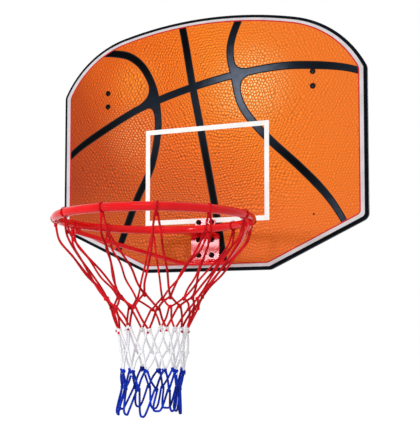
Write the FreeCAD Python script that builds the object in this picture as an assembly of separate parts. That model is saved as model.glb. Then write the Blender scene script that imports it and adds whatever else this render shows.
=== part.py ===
import FreeCAD, Part
import math
import os

from FreeCAD import Vector

# Wall-mounted basketball backboard: a printed panel, a welded rim and a knotted net.
# The wall is the plane Y = 0, the player stands on the -Y side, +Z is up, sizes are millimetres.
# Heights count from the panel's bottom edge. The finished pieces move so that the origin lies
# on the wall, midway between the four upper wall holes.

# Panel
PANEL_WIDTH = 698.0
PANEL_THICKNESS = 16.0
BOTTOM_WIDTH = 289.0
SIDE_FOOT = 98.0
SIDE_LENGTH = 307.5
ARCH_RISE = 141.0
CROWN_RADIUS = 880.0
SHOULDER_RADIUS = 223.0
CORNER_RADIUS = 12.0
FILM_THICKNESS = 0.4

# Wall holes
WALL_HOLE_SPAN = 482.0
UPPER_HOLE_HEIGHT = 391.0
UPPER_HOLE_PITCH = 31.0
UPPER_HOLE_DIAMETER = 10.0
LOWER_HOLE_HEIGHT = 106.5
LOWER_HOLE_DIAMETER = 4.2
SLEEVE_BORE = 6.4
SLEEVE_FIT = 0.1
SLEEVE_FLANGE = 12.0
SLEEVE_FLANGE_HEIGHT = 1.4
SLEEVE_ROUNDING = 0.8

# Edge moulding
EDGE_PROUD = 6.0
EDGE_ROUNDING = 5.0
GROOVE_WIDTH = 2.6
GROOVE_DEPTH = 7.0
SPINE_CLEARANCE = 0.3

# Bracket
SHEET = 3.5
BEND_RADIUS = 3.0
PLATE_WIDTH = 65.0
PLATE_CORNER = 4.0
SHELF_HEIGHT = 73.5
TAB_WIDTH = 46.0
TAB_HEIGHT = 33.5
TAB_CORNER = 8.0
TAB_FOOT = 26.0

# Rim and brace
RIM_RADIUS = 185.5
RIM_BAR = 16.0
RIM_STANDOFF = 64.5
RIM_LIFT = 3.8
BRACE_BAR = 9.0
BRACE_HEIGHT = 11.0
BRACE_KNEE_SPAN = 104.0
BRACE_BEND_RADIUS = 20.0
BRACE_CLOCK = 9.0
BRACE_TAIL = 6.0
WELD_GAP = 0.3
WELD_LEG = 4.0
SEAM_WELD = 6.0
PLATE_WELD_LENGTH = 18.0

# Bolts and insert nuts
BOLT_DIAMETER = 6.0
BOLT_CLEARANCE = 0.4
BOLT_HEAD_WIDTH = 10.0
BOLT_HEAD_HEIGHT = 4.0
BOLT_HEAD_CHAMFER = 0.7
BOLT_TIP_SETBACK = 1.5
BOLT_GAUGE = 30.0
FOOT_ROW = 12.6
SHELF_ROW = 11.7
TAB_ROW = 26.5
NUT_FLANGE = 18.0
NUT_FLANGE_THICKNESS = 1.6
NUT_BARREL = 8.6
NUT_LENGTH = 11.0
NUT_FIT = 0.1

# Net
NET_LOOPS = 12
NET_LENGTH = 363.0
NET_CLOCK = -3.5
NET_TWIST = 4.0
NET_CORD = 4.0
CORD_SIDES = 6
KNOT_DIAMETER = 9.5
KNOT_HEIGHT = 8.5
KNOT_END_SHARE = 0.62
LOOP_SIDES = 8
LOOP_CLEARANCE = 0.3
END_LOOP_WIDTH = 15.0
END_LOOP_ROUND = 5.0
STRAND_BELLY = 13.0
BELLY_SHARE = 0.22
ROW_DROP_SHARES = (0.411, 0.463, 0.573, 0.689, 0.788, 0.879, 1.0)
ROW_RADIUS_SHARES = (0.496, 0.442, 0.358, 0.324, 0.308, 0.302, 0.324)
ROW_NAMES = ("red_1", "red_2", "red_3", "white_1", "white_2", "blue_1", "blue_2")

# How far cutters run past a surface, and how near an edge lies to the place it is picked at
OVERRUN = 5.0
PICK_SLACK = 0.1

# Places that follow from the sizes
HALF_WIDTH = PANEL_WIDTH / 2
SIDE_TOP = SIDE_FOOT + SIDE_LENGTH
FACE = -PANEL_THICKNESS - FILM_THICKNESS
PLATE_FRONT = FACE - SHEET
BAR_RADIUS = RIM_BAR / 2
CORD_RADIUS = NET_CORD / 2
BRACE_RADIUS = BRACE_BAR / 2
PLATE_FOOT = BRACE_HEIGHT + BRACE_RADIUS + WELD_GAP
RIM_CENTRE = Vector(0, FACE - RIM_STANDOFF - BAR_RADIUS - RIM_RADIUS, SHELF_HEIGHT + RIM_LIFT)
BOLT_ROWS = (PLATE_FOOT + FOOT_ROW, SHELF_HEIGHT - SHELF_ROW, SHELF_HEIGHT + TAB_ROW)
BOLT_HOLE = BOLT_DIAMETER + BOLT_CLEARANCE
UP = Vector(0, 0, 1)
RIGHT = Vector(1, 0, 0)


def unit(vector):
    return vector / vector.Length


def arc(start, middle, end):
    return Part.Arc(start, middle, end).toShape()


def cylinder(diameter, x, z, back, front):
    """Round bar along Y, from its back end forwards."""
    return Part.makeCylinder(diameter / 2, back - front, Vector(x, back, z), -Vector(0, 1, 0))


def save(name, solids):
    """Write one node, moved from the panel's bottom edge to the wall holes' centre."""
    shape = Part.makeCompound(solids) if len(solids) > 1 else solids[0]
    shape.translate(-UP * UPPER_HOLE_HEIGHT)
    shape.exportStep(os.path.join("parts", name + ".step"))
    print(name, len(shape.Solids), "solids", round(shape.Volume), "mm3", shape.isValid())


# Panel outline

def shoulder_centre(crown_centre):
    """Centre of the arc that leaves the side's upper end and runs tangent into the crown."""
    to_corner = Vector(HALF_WIDTH, 0, SIDE_TOP) - crown_centre
    inner = CROWN_RADIUS - SHOULDER_RADIUS
    along = (to_corner.Length ** 2 + inner ** 2 - SHOULDER_RADIUS ** 2) / (2 * to_corner.Length)
    across = math.sqrt(inner ** 2 - along ** 2)
    ray = unit(to_corner)
    return crown_centre + ray * along + Vector(-ray.z, 0, ray.x) * across


def outline(offset):
    """Closed wire of the panel's edge, moved outwards by offset, in the plane Y = 0."""
    half_bottom = BOTTOM_WIDTH / 2
    slant = unit(Vector(HALF_WIDTH - half_bottom, 0, SIDE_FOOT))
    out = Vector(slant.z, 0, -slant.x)
    crown = UP * (SIDE_TOP + ARCH_RISE - CROWN_RADIUS)
    shoulder = shoulder_centre(crown)

    # Centres of the rounded corners: bottom, lower side and upper side
    inset = HALF_WIDTH - CORNER_RADIUS
    bottom_x = half_bottom - CORNER_RADIUS * (1 + out.z) / out.x
    lower_z = (-CORNER_RADIUS - out.x * (inset - half_bottom)) / out.z
    reach = SHOULDER_RADIUS - CORNER_RADIUS
    upper_z = shoulder.z + math.sqrt(reach ** 2 - (inset - shoulder.x) ** 2)
    bottom = Vector(bottom_x, 0, CORNER_RADIUS)
    lower = Vector(inset, 0, lower_z)
    upper = Vector(inset, 0, upper_z)

    # Each arc of the right half: centre, radius, and the outward directions where it starts and ends
    into_shoulder = unit(upper - shoulder)
    into_crown = unit(shoulder - crown)
    arcs = (
        (bottom, CORNER_RADIUS + offset, -UP, out),
        (lower, CORNER_RADIUS + offset, out, RIGHT),
        (upper, CORNER_RADIUS + offset, RIGHT, into_shoulder),
        (shoulder, SHOULDER_RADIUS + offset, into_shoulder, into_crown),
    )
    half = []
    ends = []
    for centre, radius, first, last in arcs:
        start = centre + first * radius
        joint = centre + last * radius
        half.append(arc(start, centre + unit(first + last) * radius, joint))
        ends.append((start, joint))
    half.append(Part.makeLine(ends[0][1], ends[1][0]))
    half.append(Part.makeLine(ends[1][1], ends[2][0]))
    mirrored = [edge.mirror(Vector(), RIGHT) for edge in half]
    apex = crown + UP * (CROWN_RADIUS + offset)
    top = arc(joint, apex, Vector(-joint.x, 0, joint.z))
    start = ends[0][0]
    foot = Part.makeLine(start, Vector(-start.x, 0, start.z))
    return Part.Wire(Part.__sortEdges__(half + mirrored + [top, foot]))


def slab(offset, back, front):
    """Plate of the panel's outline moved outwards by offset, between two planes along Y."""
    face = Part.Face(outline(offset))
    face.translate(Vector(0, back, 0))
    return face.extrude(Vector(0, front - back, 0))


def bolt_places():
    return [(side * BOLT_GAUGE / 2, height) for height in BOLT_ROWS for side in (-1, 1)]


def upper_hole_places():
    half_span = WALL_HOLE_SPAN / 2
    half_pitch = UPPER_HOLE_PITCH / 2
    return [(side * half_span, UPPER_HOLE_HEIGHT + step * half_pitch) for side in (-1, 1) for step in (-1, 1)]


def wall_holes(back, front):
    """Cutters for the four upper and two lower wall holes."""
    cutters = [cylinder(UPPER_HOLE_DIAMETER, x, z, back, front) for x, z in upper_hole_places()]
    for side in (-1, 1):
        x = side * WALL_HOLE_SPAN / 2
        cutters.append(cylinder(LOWER_HOLE_DIAMETER, x, LOWER_HOLE_HEIGHT, back, front))
    return cutters


def backboard_panel():
    """Board with a groove round its edge, wall holes, bolt holes and pockets for the insert nuts."""
    middle = -PANEL_THICKNESS / 2
    groove_back = middle + GROOVE_WIDTH / 2
    groove_front = middle - GROOVE_WIDTH / 2
    groove = slab(OVERRUN, groove_back, groove_front).cut(slab(-GROOVE_DEPTH, groove_back, groove_front))
    cutters = wall_holes(OVERRUN, FACE - OVERRUN)
    for x, z in bolt_places():
        cutters.append(cylinder(BOLT_HOLE, x, z, OVERRUN, FACE - OVERRUN))
        cutters.append(cylinder(NUT_BARREL + NUT_FIT, x, z, OVERRUN, -NUT_LENGTH - NUT_FIT))
        cutters.append(cylinder(NUT_FLANGE + NUT_FIT, x, z, OVERRUN, -NUT_FLANGE_THICKNESS - NUT_FIT))
    return slab(0, 0, -PANEL_THICKNESS).cut(groove).cut(Part.makeCompound(cutters)).Solids[0]


def face_print():
    """Printed film over the whole front of the board."""
    cutters = wall_holes(0, FACE - OVERRUN)
    for x, z in bolt_places():
        cutters.append(cylinder(BOLT_HOLE, x, z, 0, FACE - OVERRUN))
    return slab(0, -PANEL_THICKNESS, FACE).cut(Part.makeCompound(cutters)).Solids[0]


def hole_sleeve(x, z):
    """Sleeve that lines an upper wall hole, with a flange on the film."""
    crown = FACE - SLEEVE_FLANGE_HEIGHT
    flange = cylinder(SLEEVE_FLANGE, x, z, FACE, crown)
    rims = [edge for edge in flange.Edges if edge.BoundBox.YMax < crown + PICK_SLACK]
    flange = flange.makeFillet(SLEEVE_ROUNDING, rims)
    barrel = cylinder(UPPER_HOLE_DIAMETER - SLEEVE_FIT, x, z, 0, FACE)
    bore = cylinder(SLEEVE_BORE, x, z, OVERRUN, FACE - OVERRUN)
    return flange.fuse(barrel).removeSplitter().cut(bore).Solids[0]


def edge_trim():
    """Bull-nosed moulding round the edge, held by a spine in the board's groove."""
    cap = slab(EDGE_PROUD, 0, FACE)
    rims = [edge for edge in cap.Edges if edge.BoundBox.YLength < PICK_SLACK]
    cap = cap.makeFillet(EDGE_ROUNDING, rims)
    cap = cap.cut(slab(0, OVERRUN, FACE - OVERRUN))
    middle = -PANEL_THICKNESS / 2
    half_spine = GROOVE_WIDTH / 2 - SPINE_CLEARANCE
    spine_back = middle + half_spine
    spine_front = middle - half_spine
    tip = slab(SPINE_CLEARANCE - GROOVE_DEPTH, spine_back, spine_front)
    spine = slab(0, spine_back, spine_front).cut(tip)
    return cap.fuse(spine).removeSplitter().Solids[0]


# Bracket

def bent_sheet(width, foot, level, reach, rise):
    """Sheet that stands on the board's face and turns forwards at a level, seen along X.

    rise is 1 where the upright stands above the turned leg and -1 where it hangs below it."""
    outer = BEND_RADIUS + SHEET
    bend = Vector(0, FACE - outer, level + rise * outer)
    diagonal = unit(Vector(0, 1, -rise))
    back_foot = Vector(0, FACE, foot)
    front_foot = Vector(0, PLATE_FRONT, foot)
    under_tip = Vector(0, FACE - reach, level)
    over_tip = Vector(0, FACE - reach, level + rise * SHEET)
    outer_start = Vector(0, FACE, bend.z)
    outer_end = Vector(0, bend.y, level)
    inner_start = Vector(0, bend.y, over_tip.z)
    inner_end = Vector(0, PLATE_FRONT, bend.z)
    edges = [
        Part.makeLine(back_foot, outer_start),
        arc(outer_start, bend + diagonal * outer, outer_end),
        Part.makeLine(outer_end, under_tip),
        Part.makeLine(under_tip, over_tip),
        Part.makeLine(over_tip, inner_start),
        arc(inner_start, bend + diagonal * BEND_RADIUS, inner_end),
        Part.makeLine(inner_end, front_foot),
        Part.makeLine(front_foot, back_foot),
    ]
    face = Part.Face(Part.Wire(edges))
    face.translate(-RIGHT * width / 2)
    return face.extrude(RIGHT * width)


def round_corners(sheet, height, radius):
    """Round the two upright corners that a sheet has at a height."""
    corners = []
    for edge in sheet.Edges:
        box = edge.BoundBox
        if abs(box.ZMin - height) < PICK_SLACK and max(box.ZLength, box.XLength) < PICK_SLACK:
            corners.append(edge)
    return sheet.makeFillet(radius, corners)


def rim_bar():
    return Part.makeTorus(RIM_RADIUS, BAR_RADIUS, RIM_CENTRE, UP)


def bolt_cutters(rows):
    half = BOLT_GAUGE / 2
    places = [(side * half, row) for row in rows for side in (-1, 1)]
    return Part.makeCompound([cylinder(BOLT_HOLE, x, z, 0, FACE - SHEET - OVERRUN) for x, z in places])


def bracket_plate():
    """Plate on the board whose upper end turns forwards into the shelf that carries the rim."""
    reach = RIM_STANDOFF + BAR_RADIUS
    sheet = bent_sheet(PLATE_WIDTH, PLATE_FOOT, SHELF_HEIGHT, reach, -1)
    sheet = round_corners(sheet, PLATE_FOOT, PLATE_CORNER)
    return sheet.cut(rim_bar()).cut(bolt_cutters(BOLT_ROWS[:2])).Solids[0]


def bracket_angle():
    """Angle on top of the shelf, whose upright tab takes the upper pair of bolts."""
    top = SHELF_HEIGHT + TAB_HEIGHT
    sheet = bent_sheet(TAB_WIDTH, top, SHELF_HEIGHT, TAB_FOOT, 1)
    sheet = round_corners(sheet, top, TAB_CORNER)
    return sheet.cut(bolt_cutters(BOLT_ROWS[2:])).Solids[0]


def bracket_bolt(x, z):
    """Hexagon bolt through the bracket and the board into its insert nut."""
    corner = BOLT_HEAD_WIDTH / math.sqrt(3)
    points = []
    for index in range(7):
        turn = math.radians(60 * index)
        points.append(Vector(x + corner * math.cos(turn), PLATE_FRONT, z + corner * math.sin(turn)))
    head = Part.Face(Part.makePolygon(points)).extrude(Vector(0, -BOLT_HEAD_HEIGHT, 0))
    crown = PLATE_FRONT - BOLT_HEAD_HEIGHT
    rims = [edge for edge in head.Edges if edge.BoundBox.YMax < crown + PICK_SLACK]
    head = head.makeChamfer(BOLT_HEAD_CHAMFER, rims)
    shank = cylinder(BOLT_DIAMETER, x, z, -BOLT_TIP_SETBACK, PLATE_FRONT)
    return head.fuse(shank).removeSplitter().Solids[0]


def insert_nut(x, z):
    """Flanged nut pressed in from the back of the board, flush with it."""
    flange = cylinder(NUT_FLANGE, x, z, -NUT_FIT, -NUT_FLANGE_THICKNESS)
    barrel = cylinder(NUT_BARREL, x, z, -NUT_FLANGE_THICKNESS, -NUT_LENGTH)
    bore = cylinder(BOLT_DIAMETER + NUT_FIT, x, z, OVERRUN, FACE)
    return flange.fuse(barrel).removeSplitter().cut(bore).Solids[0]


# Brace

def brace_points():
    """Where the right arm passes under the rim, and the knee where it turns along the board."""
    knee = Vector(BRACE_KNEE_SPAN / 2, FACE - WELD_GAP - BRACE_RADIUS, BRACE_HEIGHT)
    turn = math.radians(BRACE_CLOCK)
    radial = Vector(math.cos(turn), math.sin(turn), 0)
    over = RIM_CENTRE + radial * RIM_RADIUS
    plan = Vector(knee.x - over.x, knee.y - over.y, 0)
    # The slanting arm clears the round bar by the weld gap, so its axis lies a slant height below
    gap = BAR_RADIUS + BRACE_RADIUS + WELD_GAP
    steepness = (gap / abs(plan.dot(radial))) ** 2
    drop = over.z - knee.z
    root = math.sqrt((steepness * drop) ** 2 + (1 - steepness) * (gap ** 2 + steepness * drop ** 2))
    return over - UP * (root - steepness * drop) / (1 - steepness), knee


def brace_rod():
    """One bent rod: two arms from under the rim, joined by a straight run below the bracket plate."""
    under, knee = brace_points()
    arm = unit(under - knee)
    end = under + arm * BRACE_TAIL
    half_turn = (math.pi - (-RIGHT).getAngle(arm)) / 2
    setback = BRACE_BEND_RADIUS * math.tan(half_turn)
    from_arm = knee + arm * setback
    to_run = knee - RIGHT * setback
    centre = knee + unit(arm - RIGHT) * BRACE_BEND_RADIUS / math.cos(half_turn)
    middle = centre + unit(knee - centre) * BRACE_BEND_RADIUS
    half = [Part.makeLine(end, from_arm), arc(from_arm, middle, to_run)]
    mirrored = [edge.mirror(Vector(), RIGHT) for edge in half]
    run = Part.makeLine(to_run, Vector(-to_run.x, to_run.y, to_run.z))
    path = Part.Wire(Part.__sortEdges__(half + [run] + mirrored))
    start = path.OrderedVertexes[0].Point
    along = path.OrderedEdges[0].tangentAt(path.OrderedEdges[0].FirstParameter)
    section = Part.Wire(Part.makeCircle(BRACE_RADIUS, start, along))
    return path.makePipeShell([section], True, False)


# Weld beads

def shelf_weld():
    """Fillet bead along the rim bar where it meets the top of the shelf."""
    out = math.sqrt(BAR_RADIUS ** 2 - RIM_LIFT ** 2)
    high = math.asin(min(1.0, (WELD_LEG - RIM_LIFT) / BAR_RADIUS))
    toe_angle = (high - math.asin(RIM_LIFT / BAR_RADIUS)) / 2
    bar = Vector(RIM_RADIUS, 0, 0)
    root = bar + Vector(out, 0, -RIM_LIFT)
    toe = root + RIGHT * WELD_LEG
    crest = bar + Vector(math.cos(high), 0, math.sin(high)) * BAR_RADIUS
    seat = bar + Vector(math.cos(toe_angle), 0, math.sin(toe_angle)) * BAR_RADIUS
    profile = Part.Wire([Part.makeLine(root, toe), Part.makeLine(toe, crest), arc(crest, seat, root)])
    half_angle = math.degrees(math.asin((PLATE_WIDTH / 2 - SHEET) / (RIM_RADIUS + BAR_RADIUS + WELD_LEG)))
    face = Part.Face(profile)
    face.rotate(Vector(), UP, 90 - half_angle)
    bead = face.revolve(Vector(), UP, 2 * half_angle)
    bead.translate(RIM_CENTRE)
    return bead


def brace_rim_weld(side, rod):
    """Bead that fills the notch between the rim bar and one arm of the brace."""
    under, knee = brace_points()
    centre = under + UP * (BRACE_RADIUS + WELD_GAP)
    ball = Part.makeSphere(SEAM_WELD, Vector(side * centre.x, centre.y, centre.z))
    return max(ball.cut(rim_bar()).cut(rod).Solids, key=lambda solid: solid.Volume)


def brace_plate_weld(side, rod):
    """Bead between the bracket plate's lower edge and the brace's straight run."""
    start = Vector(-PLATE_WELD_LENGTH / 2 + side * BOLT_GAUGE / 2, PLATE_FRONT, PLATE_FOOT)
    bar = Part.makeCylinder(WELD_LEG - WELD_GAP, PLATE_WELD_LENGTH, start, RIGHT)
    block = Part.makeBox(PLATE_WIDTH, SHEET + OVERRUN, OVERRUN + WELD_LEG)
    block.translate(Vector(-PLATE_WIDTH / 2, PLATE_FRONT, PLATE_FOOT - OVERRUN))
    return max(bar.cut(block).cut(rod).Solids, key=lambda solid: solid.Volume)


# Net

def polygon(points):
    return Part.Face(Part.makePolygon(points + points[:1]))


def skin(rings, closed):
    """Solid with flat facets through rings of corner points."""
    faces = [] if closed else [polygon(rings[0]), polygon(rings[-1])]
    pairs = list(zip(rings, rings[1:]))
    if closed:
        pairs.append((rings[-1], rings[0]))
    for lower, upper in pairs:
        for index, corner in enumerate(lower):
            following = (index + 1) % len(lower)
            faces.append(polygon([corner, lower[following], upper[following], upper[index]]))
    shell = Part.Shell(faces)
    shell.sewShape()
    solid = Part.Solid(shell)
    if solid.Volume < 0:
        solid.reverse()
    return solid


def faceted_cord(points, closed):
    """Cord of straight runs along points, mitred where it turns."""
    count = len(points)
    runs = [unit(points[(index + 1) % count] - points[index]) for index in range(count)]
    across = unit(runs[0].cross(UP))
    above = runs[0].cross(across)
    ring = []
    for index in range(CORD_SIDES):
        turn = 2 * math.pi * index / CORD_SIDES
        ring.append(points[0] + (across * math.cos(turn) + above * math.sin(turn)) * CORD_RADIUS)
    rings = []
    for index, point in enumerate(points):
        before = runs[index - 1]
        after = runs[index]
        if not closed and index == 0:
            before = after
        if not closed and index == count - 1:
            after = before
        mitre = before + after
        along = after if index == 0 else before
        ring = [corner + along * ((point - corner).dot(mitre) / along.dot(mitre)) for corner in ring]
        rings.append(ring)
    return skin(rings, closed)


def knot(centre):
    """Tied knot, as a six-sided barrel."""
    rings = []
    for height, share in ((-0.5, KNOT_END_SHARE), (0.0, 1.0), (0.5, KNOT_END_SHARE)):
        ring = []
        for index in range(CORD_SIDES):
            turn = 2 * math.pi * index / CORD_SIDES
            spoke = Vector(math.cos(turn), math.sin(turn), 0)
            ring.append(centre + spoke * (share * KNOT_DIAMETER / 2) + UP * (height * KNOT_HEIGHT))
        rings.append(ring)
    return skin(rings, False)


def loop_angle(index):
    """Clock angle of a loop on the rim; a loop that would lie on the shelf sits beside it."""
    angle = NET_CLOCK + index * 360 / NET_LOOPS
    from_board = angle - 90
    room = PLATE_WIDTH / 2 + CORD_RADIUS + LOOP_CLEARANCE
    least = math.degrees(math.asin(room / (RIM_RADIUS - BAR_RADIUS)))
    if abs(from_board) < least:
        angle = 90 + math.copysign(least, from_board)
    return math.radians(angle)


def knot_place(level, index):
    """Centre of a knot: level 0 hangs under the rim bar, the rows below follow their shares."""
    if level == 0:
        turn = loop_angle(index % NET_LOOPS)
        drop = BAR_RADIUS + LOOP_CLEARANCE + KNOT_HEIGHT / 2
        return RIM_CENTRE + Vector(math.cos(turn), math.sin(turn), 0) * RIM_RADIUS - UP * drop
    turn = math.radians(NET_CLOCK + NET_TWIST + (index + 0.5 * (level % 2)) * 360 / NET_LOOPS)
    radius = RIM_RADIUS * ROW_RADIUS_SHARES[level - 1]
    drop = NET_LENGTH * ROW_DROP_SHARES[level - 1]
    return RIM_CENTRE + Vector(math.cos(turn), math.sin(turn), 0) * radius - UP * drop


def rim_loop(index):
    """Loop of cord round the rim bar, closed by a knot below it."""
    turn = loop_angle(index)
    radial = Vector(math.cos(turn), math.sin(turn), 0)
    centre = RIM_CENTRE + radial * RIM_RADIUS
    corner = (BAR_RADIUS + LOOP_CLEARANCE + CORD_RADIUS) / math.cos(math.pi / LOOP_SIDES)
    points = []
    for side in range(LOOP_SIDES):
        angle = 2 * math.pi * (side + 0.5) / LOOP_SIDES
        points.append(centre + (radial * math.cos(angle) + UP * math.sin(angle)) * corner)
    return faceted_cord(points, True).fuse(knot(knot_place(0, index))).Solids[0]


def outward_of(point):
    """Level direction from the rim's axis to a point."""
    return unit(Vector(point.x - RIM_CENTRE.x, point.y - RIM_CENTRE.y, 0))


def strand_starts(level, index):
    """The two knots above a mesh, and where its strands leave them."""
    first = index if level % 2 else index - 1
    uppers = [knot_place(level - 1, first), knot_place(level - 1, first + 1)]
    beside = [UP.cross(outward_of(upper)) * (CORD_RADIUS + LOOP_CLEARANCE / 2) for upper in uppers]
    return uppers, [uppers[0] + beside[0], uppers[1] - beside[1]]


def net_mesh(level, index):
    """Two strands that come down from neighbouring knots and meet in one knot."""
    lower = knot_place(level, index)
    pieces = []
    for upper, start in zip(*strand_starts(level, index)):
        points = [start, lower]
        if level == 1:
            points.insert(1, start + (lower - start) * BELLY_SHARE + outward_of(upper) * STRAND_BELLY)
        pieces.append(faceted_cord(points, False).cut(knot(upper)).Solids[0])
    return knot(lower).multiFuse(pieces).Solids[0]


def end_loop(index):
    """Open loop at the net's lower end: one cord from knot to knot, rounded where it turns."""
    level = len(ROW_NAMES)
    lower = knot_place(level, index)
    uppers, starts = strand_starts(level, index)
    side = UP.cross(outward_of(lower)) * (END_LOOP_WIDTH / 2)
    flat = side * (1 - 2 * END_LOOP_ROUND / END_LOOP_WIDTH)
    rise = UP * END_LOOP_ROUND
    points = [starts[0], lower - side + rise, lower - flat, lower + flat, lower + side + rise, starts[1]]
    return faceted_cord(points, False).cut(knot(uppers[0])).cut(knot(uppers[1])).Solids[0]


os.makedirs("parts", exist_ok=True)
both_sides = (-1, 1)
brace = brace_rod()
save("backboard_panel", [backboard_panel()])
save("face_print", [face_print()])
save("hole_sleeves", [hole_sleeve(x, z) for x, z in upper_hole_places()])
save("edge_trim", [edge_trim()])
save("bracket_plate", [bracket_plate()])
save("bracket_angle", [bracket_angle()])
save("bracket_bolts", [bracket_bolt(x, z) for x, z in bolt_places()])
save("insert_nuts", [insert_nut(x, z) for x, z in bolt_places()])
save("rim_ring", [rim_bar()])
save("shelf_weld", [shelf_weld()])
save("brace_rim_welds", [brace_rim_weld(side, brace) for side in both_sides])
save("brace_plate_welds", [brace_plate_weld(side, brace) for side in both_sides])
save("brace_rod", [brace])
save("net_rim_loops", [rim_loop(index) for index in range(NET_LOOPS)])
for row, row_name in enumerate(ROW_NAMES[:-1]):
    save("net_" + row_name, [net_mesh(row + 1, index) for index in range(NET_LOOPS)])
save("net_" + ROW_NAMES[-1], [end_loop(index) for index in range(NET_LOOPS)])
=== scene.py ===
import math
import random

import bpy
import numpy as np
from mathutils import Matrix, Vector, geometry, kdtree


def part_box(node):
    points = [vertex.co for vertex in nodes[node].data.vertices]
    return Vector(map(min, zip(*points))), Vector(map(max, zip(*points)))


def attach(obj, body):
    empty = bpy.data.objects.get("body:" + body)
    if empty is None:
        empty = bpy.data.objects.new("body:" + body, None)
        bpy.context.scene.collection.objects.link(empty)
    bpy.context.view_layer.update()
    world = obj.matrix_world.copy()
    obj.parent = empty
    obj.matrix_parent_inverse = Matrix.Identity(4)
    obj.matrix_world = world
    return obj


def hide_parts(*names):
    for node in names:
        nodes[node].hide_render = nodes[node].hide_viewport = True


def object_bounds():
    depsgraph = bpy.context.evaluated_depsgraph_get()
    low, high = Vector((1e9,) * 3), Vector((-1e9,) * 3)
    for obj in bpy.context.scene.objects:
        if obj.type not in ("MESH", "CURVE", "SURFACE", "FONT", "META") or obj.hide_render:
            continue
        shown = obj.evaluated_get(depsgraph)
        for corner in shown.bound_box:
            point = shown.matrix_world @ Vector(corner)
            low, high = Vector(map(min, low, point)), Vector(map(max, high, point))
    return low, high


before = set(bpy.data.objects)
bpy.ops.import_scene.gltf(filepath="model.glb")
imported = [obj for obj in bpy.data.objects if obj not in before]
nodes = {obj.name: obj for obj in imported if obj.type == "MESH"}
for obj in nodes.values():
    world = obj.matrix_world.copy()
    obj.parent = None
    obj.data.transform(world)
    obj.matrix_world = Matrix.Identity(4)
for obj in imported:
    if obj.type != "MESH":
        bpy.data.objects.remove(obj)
cad_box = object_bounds()


# Backboard panel. A slab of medium-density fibreboard, sawn to the arched outline, grooved along its edge
# and drilled for the wall screws and the bracket bolts. Its back and the walls of its holes stay raw.
MM = 0.001
FIBRE_LENGTH = 2.4 * MM
FIBRE_WIDTH = 0.9 * MM
FIBRE_RELIEF = 0.15 * MM
BARK_FLECK = 7 * MM
SANDED_BAND = 26 * MM
SANDED_BAND_ASPECT = 0.03


def linear(code):
    """Linear RGBA of an sRGB hex colour."""
    channels = [int(code[i:i + 2], 16) / 255 for i in (1, 3, 5)]
    return [c / 12.92 if c <= 0.04045 else ((c + 0.055) / 1.055) ** 2.4 for c in channels] + [1.0]


def blank_material(name):
    """A new material and its empty node tree."""
    made = bpy.data.materials.new(name)
    made.use_nodes = True
    made.node_tree.nodes.clear()
    return made, made.node_tree


def add(tree, kind, feeds=None, stops=(), **settings):
    """Adds a node: settings set its properties, feeds give sockets a value or link, stops fill a ramp."""
    made = tree.nodes.new(kind)
    for name, value in settings.items():
        setattr(made, name, value)
    for socket, value in (feeds or {}).items():
        if isinstance(value, bpy.types.NodeSocket):
            tree.links.new(value, made.inputs[socket])
        else:
            made.inputs[socket].default_value = value
    for index, (place, code) in enumerate(stops):
        ramp = made.color_ramp.elements
        stop = ramp[index] if index < 2 else ramp.new(place)
        stop.position = place
        stop.color = linear(code)
    return made


def dress(finish, *names):
    """Gives CAD nodes their finish."""
    for name in names:
        nodes[name].material_slots[0].material = finish


# Raw fibreboard is matt and mid-brown, with short paler fibres that lie every way in the sheet, a few
# dark flecks of bark and faint bands from the sanding belt. The fibres are drawn a few times too coarse,
# so that they show.
fibreboard, tree = blank_material("raw_fibreboard")
where = add(tree, "ShaderNodeTexCoord").outputs["Object"]
stretched = add(tree, "ShaderNodeMapping", {"Vector": where, "Scale": (1, 1, FIBRE_WIDTH / FIBRE_LENGTH)})
fibres = add(tree, "ShaderNodeTexNoise", {"Vector": stretched.outputs["Vector"], "Scale": 1 / FIBRE_WIDTH,
                                          "Detail": 5.0, "Roughness": 0.65, "Distortion": 0.8})
flecks = add(tree, "ShaderNodeTexNoise", {"Vector": where, "Scale": 1 / BARK_FLECK, "Detail": 8.0,
                                          "Roughness": 0.8})
pressed = add(tree, "ShaderNodeValToRGB", {"Fac": fibres.outputs["Fac"]},
              stops=((0.3, "#7E5C3C"), (0.7, "#B68F63"), (0.5, "#9E784F")))
dark = add(tree, "ShaderNodeMapRange", {"Value": flecks.outputs["Fac"], "From Min": 0.62, "From Max": 0.72,
                                        "To Max": 0.55})
flecked = add(tree, "ShaderNodeMix", {"Factor": dark.outputs["Result"], 6: pressed.outputs["Color"],
                                      7: linear("#4A3322")}, data_type="RGBA").outputs[2]
drawn_out = add(tree, "ShaderNodeMapping", {"Vector": where, "Scale": (SANDED_BAND_ASPECT, 1, 1)})
bands = add(tree, "ShaderNodeTexNoise", {"Vector": drawn_out.outputs["Vector"], "Scale": 1 / SANDED_BAND,
                                         "Detail": 5.0, "Roughness": 0.7})
sanded = add(tree, "ShaderNodeMapRange", {"Value": bands.outputs["Fac"], "From Min": 0.3, "From Max": 0.7,
                                          "To Min": 0.82, "To Max": 1.2}).outputs["Result"]
tone = add(tree, "ShaderNodeVectorMath", {0: flecked, "Scale": sanded}, operation="SCALE").outputs["Vector"]
relief = add(tree, "ShaderNodeBump", {"Height": fibres.outputs["Fac"], "Strength": 0.3,
                                      "Distance": FIBRE_RELIEF})
surface = add(tree, "ShaderNodeBsdfPrincipled", {"Base Color": tone, "Roughness": 0.86, "IOR": 1.47,
                                                 "Specular IOR Level": 0.25,
                                                 "Normal": relief.outputs["Normal"]})
add(tree, "ShaderNodeOutputMaterial", {"Surface": surface.outputs["BSDF"]})
dress(fibreboard, "backboard_panel")


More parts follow.
